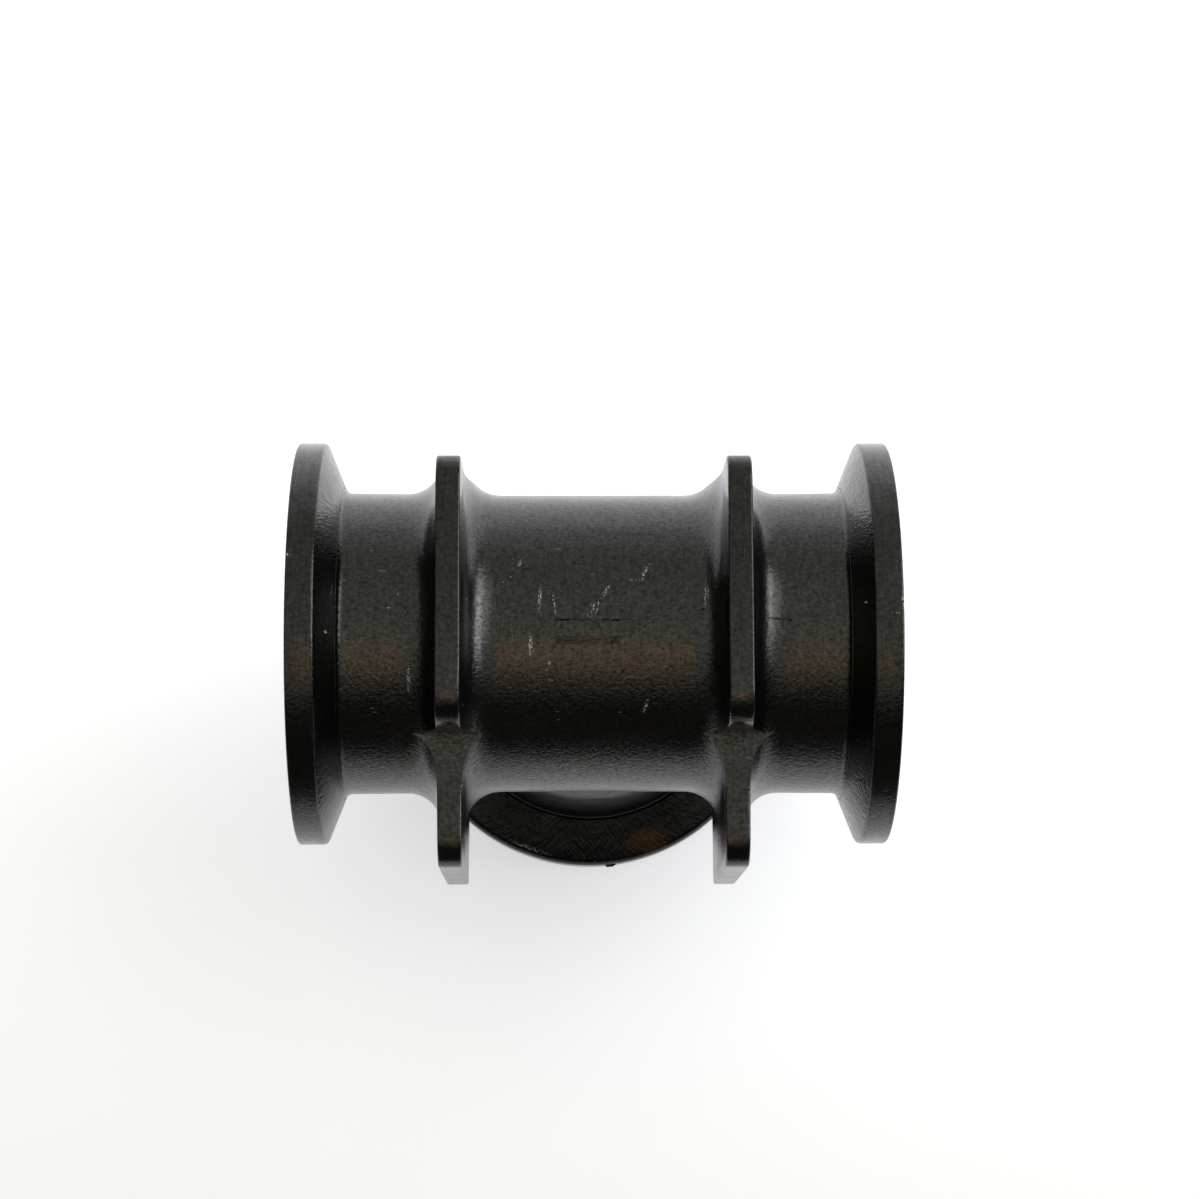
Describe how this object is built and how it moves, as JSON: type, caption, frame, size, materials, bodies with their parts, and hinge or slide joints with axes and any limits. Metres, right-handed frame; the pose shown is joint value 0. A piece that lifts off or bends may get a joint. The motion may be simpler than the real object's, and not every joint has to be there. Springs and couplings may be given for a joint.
{
  "type": "flanged tee",
  "caption": "Moulded plastic manifold tee with a clamp flange on each end of the run and on the branch, and ribbed mounting feet.",
  "frame": {"origin": "centre of the branch flange's face, on the branch axis", "axes": "+Z from the branch flange up the branch axis to the run; +X along the run; the feet point to -Y"},
  "size_m": [0.1172, 0.0866, 0.1016],
  "materials": {
    "moulded_plastic": "satin black moulded plastic with fine grain"
  },
  "bodies": {
    "root": {"tee_body": "moulded_plastic"}
  },
  "joints": []
}
